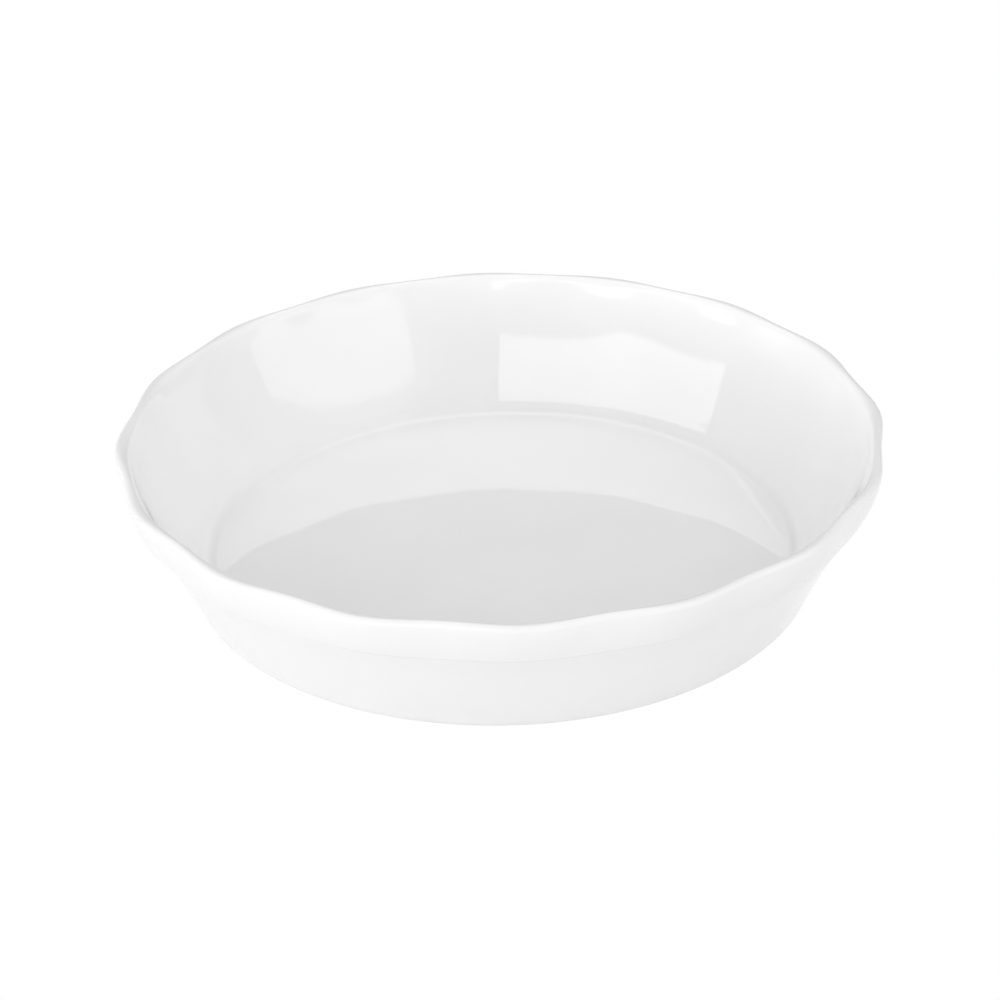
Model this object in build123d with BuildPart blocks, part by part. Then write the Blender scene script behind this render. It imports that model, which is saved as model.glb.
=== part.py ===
"""A deep porcelain pie dish: a round well under a scalloped rim, with a ledge round the outside.

Millimetres, +Z up. The origin is the middle of the plane that the dish stands on, and a corner of the rim
lies on +X. The dish is one fired porcelain body in a thin coat of glaze. The coat runs from the well over
the lip and down the outside to the glaze line above the foot, and a separate patch lies inside the foot ring.
"""

import os
from math import cos, radians, sin

from build123d import *

# Overall size of the glazed dish: across opposite corners of the rim, and from the table to the crest
overall_diameter = 280.0
overall_height = 55.0

# Scallops of the rim, seen from above: soft corners with slightly hollow flutes between them
scallop_count = 16
scallop_depth = 2.2
points_per_scallop = 4

# Lip: the wall's thickness just under the crest, and the share of it that the rounding of each edge takes
lip_thickness = 4.4
lip_rounding_share = 0.43
bare_chamfer_share = 0.74

# Band outside, from the crest down to the ledge: how far it draws in, and how far its middle swells
band_height = 15.4
band_taper = 3.8
band_crown = 0.8
band_middle_share = 0.55

# Ledge under the band: how far it overhangs the lower wall, and the share of the scallops that reaches it
ledge_step = 1.5
ledge_rounding = 0.8
ledge_rounding_limit_share = 0.85
ledge_scallop_share = 0.5

# Lower wall outside: how far the rim stands out past the heel, the wall's hollow, and the heel's rounding
wall_spread = 25.2
wall_hollow = 0.7
heel_rounding = 5.0

# Well inside the dish: how far its floor lies inside the heel, its rounded edge, and its wall's hollow
floor_inset = 4.6
floor_thickness = 4.6
floor_rounding = 7.0
well_hollow = 1.0

# The well is round up to this height above its floor, and the scallops grow from there to the crest
round_height = 34.0

# Foot ring underneath, with a shallow recess inside it whose edge slopes
foot_width = 4.0
foot_height = 1.0
foot_slope = 1.2

# Glaze: its thickness, and how far above the table it is wiped off
glaze_thickness = 0.4
glaze_line_height = 1.6

# Radii of the rim, the ledge and the heel, where the scalloped ones are half way from corner to flute
rim_radius = overall_diameter / 2 - scallop_depth / 2
ledge_radius = rim_radius - band_taper
heel_radius = overall_diameter / 2 - wall_spread

# Heights of the ledge, and of the place on the lip where the rounding of its edges starts
ledge_height = overall_height - band_height
lip_rounding = lip_thickness * lip_rounding_share
lip_height = overall_height - lip_rounding

# The ledge's rounding is limited by its overhang at the middle of a flute, where it is least
least_overhang = ledge_step - scallop_depth * ledge_scallop_share / 2
ledge_edge_rounding = min(ledge_rounding, least_overhang * ledge_rounding_limit_share)

# The well's wall runs from the floor's edge to the inside of the lip
floor_radius = heel_radius - floor_inset
well_spread = rim_radius - lip_thickness - floor_radius
well_height = lip_height - floor_thickness

# Recess inside the foot ring, cut in the porcelain and then lined with glaze
recess_radius = heel_radius - heel_rounding - foot_width
recess_depth = foot_height + glaze_thickness
recess_top_radius = recess_radius - foot_slope
patch_radius = recess_radius - foot_slope * foot_height / recess_depth


def well_radius(height):
    """Gives the radius of the glazed well at a height above the table, half way from corner to flute."""
    share = (height - floor_thickness) / well_height
    return floor_radius + well_spread * share + well_hollow * 4 * share * (1 - share)


def scalloped_outline(radius, depth):
    """Draws a closed curve that swings by depth about the radius, with one corner for each scallop."""
    points = []
    for number in range(scallop_count * points_per_scallop):
        turn = radians(360 * number / (scallop_count * points_per_scallop))
        reach = radius + depth / 2 * cos(scallop_count * turn)
        points.append((reach * cos(turn), reach * sin(turn)))
    Spline(*points, periodic=True)


def dish_form(skin):
    """Makes the dish without its foot recess: the glazed form, or the bare one that lies skin inside it."""
    crest = overall_height - skin
    floor = floor_thickness - skin
    ledge = ledge_height + skin
    band_middle = ledge + (crest - ledge) * band_middle_share
    band_middle_radius = rim_radius - band_taper * (1 - band_middle_share) + band_crown
    round_top = floor_thickness + round_height
    round_middle = (floor + round_top) / 2
    well_middle = (round_top + crest) / 2

    with BuildPart() as form:
        # Lower wall with the heel that it stands on, turned about the dish's axis
        with BuildSketch(Plane.XZ) as wall_profile:
            with BuildLine():
                heel = (heel_radius - skin, 0)
                wall_top = (ledge_radius - ledge_step - skin, ledge)
                Line((0, 0), heel)
                SagittaArc(heel, wall_top, wall_hollow)
                Polyline(wall_top, (0, ledge), (0, 0))
            make_face()
            heel_corner = wall_profile.vertices().group_by(Axis.Y)[0].sort_by(Axis.X)[-1]
            fillet(heel_corner, heel_rounding - skin)
        revolve(axis=Axis.Z)

        # Band, drawn from the ledge through its swelling middle to the crest, where it is nearly upright
        for height, radius, depth in (
            (ledge, ledge_radius, scallop_depth * ledge_scallop_share),
            (band_middle, band_middle_radius, scallop_depth * (1 + ledge_scallop_share) / 2),
            (crest, rim_radius, scallop_depth),
        ):
            with BuildSketch(Plane.XY.offset(height)):
                with BuildLine():
                    scalloped_outline(radius - skin, depth)
                make_face()
        loft()

        # Ledge: a crisp edge on the bare form, which the glaze rounds over
        if not skin:
            ledge_edge = form.edges().filter_by(GeomType.BSPLINE).group_by(Axis.Z)[0]
            fillet(ledge_edge, ledge_edge_rounding)

        # Well: its round lower part is turned, with the floor's edge rounded
        with BuildSketch(Plane.XZ) as floor_profile:
            with BuildLine():
                edge_bottom = (well_radius(floor) + skin, floor)
                edge_middle = (well_radius(round_middle) + skin, round_middle)
                edge_top = (well_radius(round_top) + skin, round_top)
                ThreePointArc(edge_bottom, edge_middle, edge_top)
                Polyline(edge_top, (0, round_top), (0, floor), edge_bottom)
            make_face()
            floor_corner = floor_profile.vertices().group_by(Axis.Y)[0].sort_by(Axis.X)[-1]
            fillet(floor_corner, floor_rounding + skin)
        revolve(axis=Axis.Z, mode=Mode.SUBTRACT)

        # Well: above that the scallops grow up to the crest
        with BuildSketch(Plane.XY.offset(round_top)):
            Circle(well_radius(round_top) + skin)
        for height, depth in ((well_middle, scallop_depth / 2), (crest, scallop_depth)):
            with BuildSketch(Plane.XY.offset(height)):
                with BuildLine():
                    scalloped_outline(well_radius(height) + skin, depth)
                make_face()
        loft(mode=Mode.SUBTRACT)

        # Lip: both edges of the crest are bevelled on the bare form, and rounded over by the glaze
        crest_edges = form.edges().group_by(Axis.Z)[-1]
        if skin:
            chamfer(crest_edges, (lip_rounding - skin) * bare_chamfer_share)
        else:
            fillet(crest_edges, lip_rounding)
    return form.part


os.makedirs("parts", exist_ok=True)

bare_form = dish_form(glaze_thickness)

# Porcelain body: the bare form with the recess cut inside its foot ring
with BuildPart() as porcelain_body:
    add(bare_form)
    with BuildSketch(Plane.XZ):
        with BuildLine():
            Polyline(
                (0, 0),
                (recess_radius, 0),
                (recess_top_radius, recess_depth),
                (0, recess_depth),
                close=True,
            )
        make_face()
    revolve(axis=Axis.Z, mode=Mode.SUBTRACT)
porcelain_body.part.label = "porcelain_body"
export_step(porcelain_body.part, "parts/porcelain_body.step")

# Glaze coat: the glazed surface and the body's surface under it, both above the glaze line
with BuildPart() as coat_outside:
    add(dish_form(0))
    split(bisect_by=Plane.XY.offset(glaze_line_height), keep=Keep.TOP)
with BuildPart() as coat_inside:
    add(bare_form)
    split(bisect_by=Plane.XY.offset(glaze_line_height), keep=Keep.TOP)

# The coat is closed at the glaze line by a flat ring, so it is one thin solid over the whole dish
outer_cut = coat_outside.faces().sort_by(Axis.Z)[0]
inner_cut = coat_inside.faces().sort_by(Axis.Z)[0]
coat_edge = Face(outer_cut.outer_wire(), [inner_cut.outer_wire()])
coat_faces = coat_outside.faces().sort_by(Axis.Z)[1:] + coat_inside.faces().sort_by(Axis.Z)[1:]
with BuildPart() as glaze_coat:
    add(Solid(Shell([*coat_faces, coat_edge])))
glaze_coat.part.label = "glaze_coat"
export_step(glaze_coat.part, "parts/glaze_coat.step")

# Underside glaze: the patch inside the foot ring, against the top of the recess
with BuildPart() as underside_glaze:
    with BuildSketch(Plane.XZ):
        with BuildLine():
            Polyline(
                (0, foot_height),
                (patch_radius, foot_height),
                (recess_top_radius, recess_depth),
                (0, recess_depth),
                close=True,
            )
        make_face()
    revolve(axis=Axis.Z)
underside_glaze.part.label = "underside_glaze"
export_step(underside_glaze.part, "parts/underside_glaze.step")
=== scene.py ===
"""A deep porcelain pie dish, glazed white, on a pale table in a soft studio light."""

from math import atan2, cos, degrees, hypot, pi, radians, sin

import bmesh
import bpy
from mathutils import Matrix, Vector


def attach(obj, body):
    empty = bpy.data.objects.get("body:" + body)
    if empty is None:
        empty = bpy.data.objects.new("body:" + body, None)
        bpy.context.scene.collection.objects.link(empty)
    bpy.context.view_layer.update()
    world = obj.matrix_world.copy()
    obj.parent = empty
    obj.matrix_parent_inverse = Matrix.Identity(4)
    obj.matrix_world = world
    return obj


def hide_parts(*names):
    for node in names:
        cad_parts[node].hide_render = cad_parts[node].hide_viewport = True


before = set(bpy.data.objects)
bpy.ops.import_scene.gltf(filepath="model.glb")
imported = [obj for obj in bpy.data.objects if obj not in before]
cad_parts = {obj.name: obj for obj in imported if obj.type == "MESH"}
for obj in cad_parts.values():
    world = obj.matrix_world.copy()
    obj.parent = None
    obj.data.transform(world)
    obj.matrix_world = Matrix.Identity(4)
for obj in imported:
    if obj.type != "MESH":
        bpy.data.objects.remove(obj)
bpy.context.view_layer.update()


# ---------------------------------------------------------------- Camera
# A long lens a little under a metre away, looking down into the dish at 29 degrees.
# The whole camera stands slightly to the left of a corner of the rim and leans by one degree.
camera_distance = 0.9434
camera_elevation = radians(28.92)
camera_roll = radians(-1.30)
camera_turn = radians(-2.86)
camera_target = Vector((-0.000752, 0, 0.02425))

camera_data = bpy.data.cameras.new("camera")
camera_data.lens = 91.85
camera_data.sensor_width = 36
camera = bpy.data.objects.new("camera", camera_data)
bpy.context.scene.collection.objects.link(camera)
camera_back = Vector((0, -cos(camera_elevation), sin(camera_elevation)))
camera.matrix_world = (
    Matrix.Rotation(camera_turn, 4, "Z")
    @ Matrix.Translation(camera_target + camera_back * camera_distance)
    @ Matrix.Rotation(radians(90) - camera_elevation, 4, "X")
    @ Matrix.Rotation(camera_roll, 4, "Z")
)
bpy.context.scene.camera = camera
bpy.context.scene.view_settings.view_transform = "Standard"


# ---------------------------------------------------------------- Glazed dish
# All of the dish that shows from above and from the side: white porcelain under a glassy glaze.
# It is cast in one mould, so the scallops of its rim run smoothly into the round wall and the round well.
# The glaze rounds over the lip and the ledge, and ends at a wiped line just above the foot.
scallops = 16
points_per_scallop = 4
columns = scallops * points_per_scallop
scallop_swing = 0.0011
corner_dip = 0.0003

# Smoothing the form draws every ring in, and flattens the scallops, so both are drawn larger
ring_gain = 1.0016
smoothing_gain = 1.5
glaze_skin = 0.00034
same_place = 1e-6

# The potter's profile, from the glaze line up the outside, over the lip and down to the floor:
# radius and height in millimetres, then the share of the scallops and of the dip of the rim's corners
dish_rings = [
    (115.08, 1.60, 0.00, 0.00),
    (115.65, 2.28, 0.00, 0.00),
    (115.99, 2.95, 0.00, 0.00),
    (116.74, 4.80, 0.00, 0.00),
    (119.79, 11.97, 0.00, 0.00),
    (123.52, 20.10, 0.00, 0.00),
    (127.53, 28.25, 0.00, 0.00),
    (130.96, 34.78, 0.00, 0.00),
    (132.65, 37.88, 0.00, 0.00),
    (133.50, 39.46, 0.10, 0.00),
    (133.84, 39.58, 0.20, 0.00),
    (134.74, 39.56, 0.50, 0.00),
    (135.30, 39.79, 0.50, 0.00),
    (135.38, 40.29, 0.52, 0.00),
    (135.92, 41.46, 0.56, 0.00),
    (136.70, 43.49, 0.63, 0.05),
    (137.55, 46.18, 0.71, 0.25),
    (138.22, 48.99, 0.80, 0.60),
    (138.59, 51.27, 0.88, 0.90),
    (138.68, 52.55, 0.92, 1.00),
    (138.76, 53.54, 0.96, 1.00),
    (138.43, 54.30, 1.00, 1.00),
    (137.74, 54.88, 1.00, 1.00),
    (136.91, 55.00, 1.00, 1.00),
    (136.33, 55.00, 0.80, 1.00),
    (135.40, 54.76, 0.55, 1.00),
    (134.80, 54.30, 0.40, 1.00),
    (133.98, 52.88, 0.32, 1.00),
    (133.44, 51.48, 0.20, 0.90),
    (132.14, 48.42, 0.00, 0.40),
    (130.00, 42.85, 0.00, 0.00),
    (126.49, 35.18, 0.00, 0.00),
    (122.17, 26.42, 0.00, 0.00),
    (117.81, 18.12, 0.00, 0.00),
    (114.82, 12.69, 0.00, 0.00),
    (113.46, 10.31, 0.00, 0.00),
    (112.15, 7.87, 0.00, 0.00),
    (110.80, 6.18, 0.00, 0.00),
    (108.50, 4.86, 0.00, 0.00),
    (106.43, 4.53, 0.00, 0.00),
    (102.64, 4.62, 0.00, 0.00),
    (92.00, 4.60, 0.00, 0.00),
]


def place_ring(radius, height, from_radius, from_height):
    """Draws a new ring of faces from the selected edge to a radius and height."""
    bpy.ops.mesh.extrude_region_move(TRANSFORM_OT_translate={"value": (0, 0, height - from_height)})
    bpy.ops.transform.resize(value=(radius / from_radius, radius / from_radius, 1))


def pick_columns(mesh, radius, height, remainder):
    """Selects the points of one ring that lie on the rim's corners (0) or in the flutes' middles (2)."""
    for vertex in mesh.verts:
        x, y, z = vertex.co
        column = round(degrees(atan2(y, x)) / 360 * columns) % points_per_scallop
        on_ring = abs(hypot(x, y) - radius) < same_place and abs(z - height) < same_place
        vertex.select_set(on_ring and column == remainder)
    mesh.select_flush_mode()


bpy.ops.object.select_all(action="DESELECT")
rings = [(r / 1000 * ring_gain, z / 1000, share, dip) for r, z, share, dip in dish_rings]
bpy.ops.mesh.primitive_circle_add(vertices=columns, radius=rings[0][0], location=(0, 0, rings[0][1]))
dish = bpy.context.object
dish.name = "glazed_dish"
bpy.ops.object.transform_apply(location=True, rotation=True, scale=True)
bpy.ops.object.mode_set(mode="EDIT")
bpy.ops.mesh.select_mode(type="VERT")
bpy.ops.mesh.select_all(action="SELECT")
for (last_radius, last_height, _, _), (radius, height, _, _) in zip(rings, rings[1:]):
    place_ring(radius, height, last_radius, last_height)
bpy.ops.mesh.fill_grid(span=columns // 4)

# The scallops: corners are drawn out and dip a little, and the middles of the flutes are pushed in
dish_mesh = bmesh.from_edit_mesh(dish.data)
for radius, height, share, dip in rings:
    swing = scallop_swing * smoothing_gain * share / radius
    drop = corner_dip / 2 * dip
    if share:
        for remainder, side in ((0, 1), (2, -1), (1, 0), (3, 0)):
            pick_columns(dish_mesh, radius, height, remainder)
            bpy.ops.transform.resize(value=(1 + side * swing, 1 + side * swing, 1))
            bpy.ops.transform.translate(value=(0, 0, -drop * (1 + side * smoothing_gain)))
bpy.ops.mesh.select_all(action="SELECT")
bpy.ops.mesh.normals_make_consistent(inside=False)
bpy.ops.object.mode_set(mode="OBJECT")

smooth_form = dish.modifiers.new("smooth form", "SUBSURF")
smooth_form.levels = 2
smooth_form.render_levels = 2
bpy.ops.object.modifier_apply(modifier=smooth_form.name)
skin = dish.modifiers.new("thickness", "SOLIDIFY")
skin.thickness = glaze_skin
skin.offset = -1
bpy.ops.object.modifier_apply(modifier=skin.name)
bpy.ops.object.shade_smooth()

# White glaze: glassy, faintly wavy from firing, and a trace uneven in tone and in gloss
glaze = bpy.data.materials.new("white glaze")
glaze.use_nodes = True
nodes = glaze.node_tree.nodes
links = glaze.node_tree.links
shader = nodes["Principled BSDF"]
shader.inputs["IOR"].default_value = 1.5
shader.inputs["Metallic"].default_value = 0
place = nodes.new("ShaderNodeTexCoord")

tint = nodes.new("ShaderNodeTexNoise")
tint.inputs["Scale"].default_value = 22
tint.inputs["Detail"].default_value = 3
tint_ramp = nodes.new("ShaderNodeValToRGB")
tint_ramp.color_ramp.elements[0].position = 0.35
tint_ramp.color_ramp.elements[0].color = (0.91, 0.91, 0.91, 1)
tint_ramp.color_ramp.elements[1].position = 0.65
tint_ramp.color_ramp.elements[1].color = (0.93, 0.93, 0.93, 1)
links.new(place.outputs["Object"], tint.inputs["Vector"])
links.new(tint.outputs["Fac"], tint_ramp.inputs["Fac"])
links.new(tint_ramp.outputs["Color"], shader.inputs["Base Color"])

gloss = nodes.new("ShaderNodeTexNoise")
gloss.inputs["Scale"].default_value = 140
gloss.inputs["Detail"].default_value = 4
gloss_range = nodes.new("ShaderNodeMapRange")
gloss_range.inputs["To Min"].default_value = 0.02
gloss_range.inputs["To Max"].default_value = 0.06
links.new(place.outputs["Object"], gloss.inputs["Vector"])
links.new(gloss.outputs["Fac"], gloss_range.inputs["Value"])
links.new(gloss_range.outputs["Result"], shader.inputs["Roughness"])

waves = nodes.new("ShaderNodeTexNoise")
waves.inputs["Scale"].default_value = 45
waves.inputs["Detail"].default_value = 2
waves_bump = nodes.new("ShaderNodeBump")
waves_bump.inputs["Strength"].default_value = 0.5
waves_bump.inputs["Distance"].default_value = 0.0001
peel = nodes.new("ShaderNodeTexNoise")
peel.inputs["Scale"].default_value = 700
peel.inputs["Detail"].default_value = 2
peel_bump = nodes.new("ShaderNodeBump")
peel_bump.inputs["Strength"].default_value = 0.3
peel_bump.inputs["Distance"].default_value = 0.00001
links.new(place.outputs["Object"], waves.inputs["Vector"])
links.new(place.outputs["Object"], peel.inputs["Vector"])
links.new(waves.outputs["Fac"], waves_bump.inputs["Height"])
links.new(peel.outputs["Fac"], peel_bump.inputs["Height"])
links.new(waves_bump.outputs["Normal"], peel_bump.inputs["Normal"])
links.new(peel_bump.outputs["Normal"], shader.inputs["Normal"])
dish.data.materials.append(glaze)

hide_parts("glaze_coat")
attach(dish, "root")


# ---------------------------------------------------------------- Bare foot
# The porcelain body shows only where no glaze lies on it: on the foot ring and just above it.
# It is fired bare, so it is fine-grained and matte, and a trace warmer than the glaze.
bisque = bpy.data.materials.new("bare porcelain")
bisque.use_nodes = True
nodes = bisque.node_tree.nodes
links = bisque.node_tree.links
shader = nodes["Principled BSDF"]
place = nodes.new("ShaderNodeTexCoord")
grain = nodes.new("ShaderNodeTexNoise")
grain.inputs["Scale"].default_value = 1600
grain.inputs["Detail"].default_value = 5
grain_ramp = nodes.new("ShaderNodeValToRGB")
grain_ramp.color_ramp.elements[0].position = 0.3
grain_ramp.color_ramp.elements[0].color = (0.76, 0.74, 0.70, 1)
grain_ramp.color_ramp.elements[1].position = 0.6
grain_ramp.color_ramp.elements[1].color = (0.84, 0.82, 0.78, 1)
grain_bump = nodes.new("ShaderNodeBump")
grain_bump.inputs["Strength"].default_value = 0.5
grain_bump.inputs["Distance"].default_value = 0.00006
shader.inputs["Roughness"].default_value = 0.75
links.new(place.outputs["Object"], grain.inputs["Vector"])
links.new(grain.outputs["Fac"], grain_ramp.inputs["Fac"])
links.new(grain_ramp.outputs["Color"], shader.inputs["Base Color"])
links.new(grain.outputs["Fac"], grain_bump.inputs["Height"])
links.new(grain_bump.outputs["Normal"], shader.inputs["Normal"])
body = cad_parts["porcelain_body"]
body.data.materials.clear()
body.data.materials.append(bisque)


# ---------------------------------------------------------------- Underside glaze
# The patch inside the foot ring is glazed as the rest is, and wiped off where it meets the ring.
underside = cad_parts["underside_glaze"]
underside.data.materials.clear()
underside.data.materials.append(glaze)


# ---------------------------------------------------------------- Table and studio light
# A plain white table, which shows as white behind the dish and keeps the dish's shadow.
table_size = 12
table_grey = 0.82

bpy.ops.object.select_all(action="DESELECT")
bpy.ops.mesh.primitive_plane_add(size=table_size, location=(0, 0, 0))
table = bpy.context.object
table.name = "table"
table_finish = bpy.data.materials.new("white table")
table_finish.use_nodes = True
nodes = table_finish.node_tree.nodes
links = table_finish.node_tree.links
shader = nodes["Principled BSDF"]
shader.inputs["Base Color"].default_value = (table_grey, table_grey, table_grey, 1)
shader.inputs["Roughness"].default_value = 0.6
white = nodes.new("ShaderNodeEmission")
white.inputs["Strength"].default_value = 1
ray = nodes.new("ShaderNodeLightPath")
seen = nodes.new("ShaderNodeMath")
seen.operation = "MAXIMUM"
seen_too = nodes.new("ShaderNodeMath")
seen_too.operation = "MAXIMUM"
blend = nodes.new("ShaderNodeMixShader")
links.new(ray.outputs["Is Camera Ray"], seen.inputs[0])
links.new(ray.outputs["Is Glossy Ray"], seen.inputs[1])
links.new(seen.outputs["Value"], seen_too.inputs[0])
links.new(ray.outputs["Is Transmission Ray"], seen_too.inputs[1])
links.new(seen_too.outputs["Value"], blend.inputs["Fac"])
links.new(shader.outputs["BSDF"], blend.inputs[1])
links.new(white.outputs["Emission"], blend.inputs[2])
links.new(blend.outputs["Shader"], nodes["Material Output"].inputs["Surface"])
table.data.materials.append(table_finish)


def hang_softbox(name, turn, tilt, roll, distance, left, right, bottom, top, glow):
    """Hangs a panel that faces the dish, square to the direction that turn and tilt give.

    The angles are in degrees. The distance and the panel's edges, from that direction, are in metres.
    """
    away = (
        Matrix.Rotation(radians(turn), 4, "Z")
        @ Matrix.Rotation(radians(90 - tilt), 4, "X")
        @ Matrix.Rotation(radians(roll), 4, "Z")
    )
    data = bpy.data.lights.new(name, "AREA")
    data.shape = "RECTANGLE"
    data.size = right - left
    data.size_y = top - bottom
    data.energy = glow * pi * data.size * data.size_y
    lamp = bpy.data.objects.new(name, data)
    bpy.context.scene.collection.objects.link(lamp)
    middle = Vector(((left + right) / 2, (bottom + top) / 2, distance))
    lamp.matrix_world = away @ Matrix.Translation(middle)


# The left panel has an arched upper edge, so it hangs in two leaves that lean away from each other
hang_softbox("left softbox", -26.7, 37.2, -3.6, 1.014, -1.549, -0.379, -0.184, -0.057, 2.1)
hang_softbox("left softbox leaf", -26.7, 37.2, 6.7, 1.014, -0.405, 0.354, -0.114, 0.013, 2.05)
hang_softbox("right softbox", 26.6, 5, -0.4, 0.8, 0.053, 1.314, 0.20, 0.423, 1.15)
hang_softbox("rear softbox", 180, 62, 0, 1.6, -0.4, 0.4, -0.4, 0.4, 1.65)

# The studio itself: dark behind and overhead, paler walls to the sides and in front
dark_level = 0.09
wall_level = 0.61
left_surplus = 0.55  # how much paler the left wall is than the mean of both sides

# A broad pale wall high on the right, and a long low window in front on the left
high_wall_direction = (0.633, -0.112, 0.766)
high_wall_level = 0.88
window_direction = (-0.8, -0.6, 0)
window_top = 0.19
window_level = 4.9
glow_narrowness = 4

world = bpy.data.worlds.new("studio")
bpy.context.scene.world = world
world.use_nodes = True
nodes = world.node_tree.nodes
links = world.node_tree.links
room = nodes["Background"]
view = nodes.new("ShaderNodeTexCoord")
sides = nodes.new("ShaderNodeSeparateXYZ")
beside = nodes.new("ShaderNodeMath")
beside.operation = "ABSOLUTE"
ahead = nodes.new("ShaderNodeMath")
ahead.operation = "MULTIPLY"
ahead.inputs[1].default_value = -1
ahead_only = nodes.new("ShaderNodeMath")
ahead_only.operation = "MAXIMUM"
ahead_only.inputs[1].default_value = 0
uneven = nodes.new("ShaderNodeMath")
uneven.operation = "MULTIPLY_ADD"
uneven.inputs[1].default_value = -left_surplus
walls = nodes.new("ShaderNodeMath")
walls.operation = "ADD"
level = nodes.new("ShaderNodeMath")
level.operation = "MULTIPLY_ADD"
level.inputs[1].default_value = wall_level
level.inputs[2].default_value = dark_level
links.new(view.outputs["Generated"], sides.inputs["Vector"])
links.new(sides.outputs["X"], beside.inputs[0])
links.new(sides.outputs["Y"], ahead.inputs[0])
links.new(ahead.outputs["Value"], ahead_only.inputs[0])
links.new(sides.outputs["X"], uneven.inputs[0])
links.new(beside.outputs["Value"], uneven.inputs[2])
links.new(uneven.outputs["Value"], walls.inputs[0])
links.new(ahead_only.outputs["Value"], walls.inputs[1])
links.new(walls.outputs["Value"], level.inputs[0])


def glow_towards(direction):
    """Gives 1 in a direction, fading smoothly to 0 a quarter turn away from it."""
    facing = nodes.new("ShaderNodeVectorMath")
    facing.operation = "DOT_PRODUCT"
    facing.inputs[1].default_value = direction
    facing_only = nodes.new("ShaderNodeMath")
    facing_only.operation = "MAXIMUM"
    facing_only.inputs[1].default_value = 0
    narrowed = nodes.new("ShaderNodeMath")
    narrowed.operation = "POWER"
    narrowed.inputs[1].default_value = glow_narrowness
    links.new(view.outputs["Generated"], facing.inputs[0])
    links.new(facing.outputs["Value"], facing_only.inputs[0])
    links.new(facing_only.outputs["Value"], narrowed.inputs[0])
    return narrowed.outputs["Value"]


high_wall = nodes.new("ShaderNodeMath")
high_wall.operation = "MULTIPLY_ADD"
high_wall.inputs[1].default_value = high_wall_level
links.new(glow_towards(high_wall_direction), high_wall.inputs[0])
links.new(level.outputs["Value"], high_wall.inputs[2])

# The window fades out upwards and downwards from the horizon
near_level = nodes.new("ShaderNodeMath")
near_level.operation = "ABSOLUTE"
lowness = nodes.new("ShaderNodeMapRange")
lowness.interpolation_type = "SMOOTHSTEP"
lowness.inputs["From Min"].default_value = window_top
lowness.inputs["From Max"].default_value = 0
lowness.inputs["To Max"].default_value = window_level
window = nodes.new("ShaderNodeMath")
window.operation = "MULTIPLY_ADD"
links.new(sides.outputs["Z"], near_level.inputs[0])
links.new(near_level.outputs["Value"], lowness.inputs["Value"])
links.new(glow_towards(window_direction), window.inputs[0])
links.new(lowness.outputs["Result"], window.inputs[1])
links.new(high_wall.outputs["Value"], window.inputs[2])
links.new(window.outputs["Value"], room.inputs["Strength"])
room.inputs["Color"].default_value = (1, 1, 1, 1)

# The camera sees the studio as plain white
backdrop = nodes.new("ShaderNodeBackground")
backdrop.inputs["Color"].default_value = (1, 1, 1, 1)
ray = nodes.new("ShaderNodeLightPath")
blend = nodes.new("ShaderNodeMixShader")
links.new(ray.outputs["Is Camera Ray"], blend.inputs["Fac"])
links.new(room.outputs["Background"], blend.inputs[1])
links.new(backdrop.outputs["Background"], blend.inputs[2])
links.new(blend.outputs["Shader"], nodes["World Output"].inputs["Surface"])
